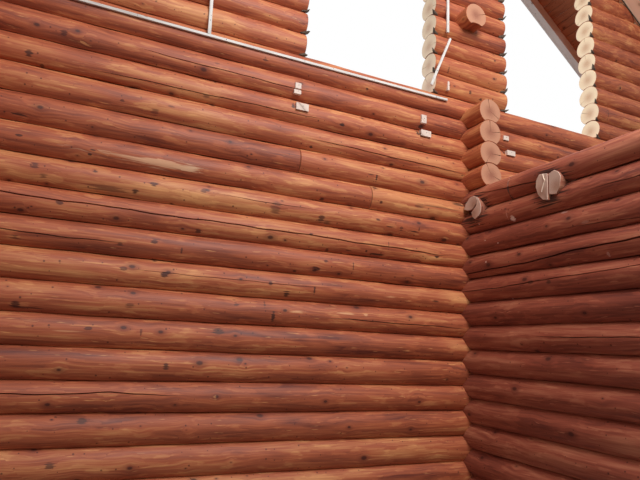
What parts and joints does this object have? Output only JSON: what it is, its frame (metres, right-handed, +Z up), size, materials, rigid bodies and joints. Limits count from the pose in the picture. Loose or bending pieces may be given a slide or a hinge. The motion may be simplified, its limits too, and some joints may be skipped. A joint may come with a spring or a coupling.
{
  "type": "log house gable wall with crossing partition",
  "caption": "Round-log gable wall with two window openings, corner stubs, a log partition crossing it, hewn joist ends and the roof strip over the gable.",
  "frame": {"origin": "at floor level where the centre lines of the gable wall and the partition cross, on the flat underside of the gable wall's first log", "axes": "+X along the gable wall, to the right for someone inside who faces it; +Y outwards through the gable wall; +Z up. The partition runs from the gable wall into the house along -Y"},
  "size_m": [9.5, 3.85, 7.8858],
  "materials": {
    "wall_wood": "satin",
    "partition_wood": "satin",
    "joist_wood": "satin",
    "pale_wood": "matte",
    "roof_wood": "matte"
  },
  "bodies": {
    "root": {"gable_courses_00_02": "wall_wood", "gable_courses_01_03": "wall_wood", "gable_courses_04_06": "wall_wood", "gable_courses_05_07": "wall_wood", "gable_courses_08_10": "wall_wood", "gable_courses_09_11": "wall_wood", "gable_courses_12_14": "wall_wood", "gable_courses_13_15": "wall_wood", "gable_courses_16_18": "wall_wood", "gable_courses_17_19": "wall_wood", "gable_top_even": "wall_wood", "gable_top_odd": "wall_wood", "jamb_lath": "pale_wood", "joists": "joist_wood", "left_corner_even": "wall_wood", "left_corner_odd": "wall_wood", "left_pier_even": "wall_wood", "left_pier_odd": "wall_wood", "left_roof_boards": "roof_wood", "left_verge_board": "roof_wood", "left_verge_rafter": "roof_wood", "partition_courses_00_02": "partition_wood", "partition_courses_01_03": "partition_wood", "partition_courses_04_06": "partition_wood", "partition_courses_05_07": "partition_wood", "partition_courses_08_10": "partition_wood", "partition_courses_09_11": "partition_wood", "partition_courses_12_14": "partition_wood", "partition_courses_13": "partition_wood", "pillar_batten": "pale_wood", "pillar_even": "wall_wood", "pillar_odd": "wall_wood", "right_corner_even": "wall_wood", "right_corner_odd": "wall_wood", "right_pier_even": "wall_wood", "right_pier_odd": "wall_wood", "right_roof_boards": "roof_wood", "right_verge_board": "roof_wood", "right_verge_rafter": "roof_wood", "room_batten": "pale_wood", "sill_batten": "pale_wood", "tie_logs_even": "wall_wood", "tie_logs_odd": "wall_wood", "upper_tie_log": "wall_wood"}
  },
  "joints": []
}
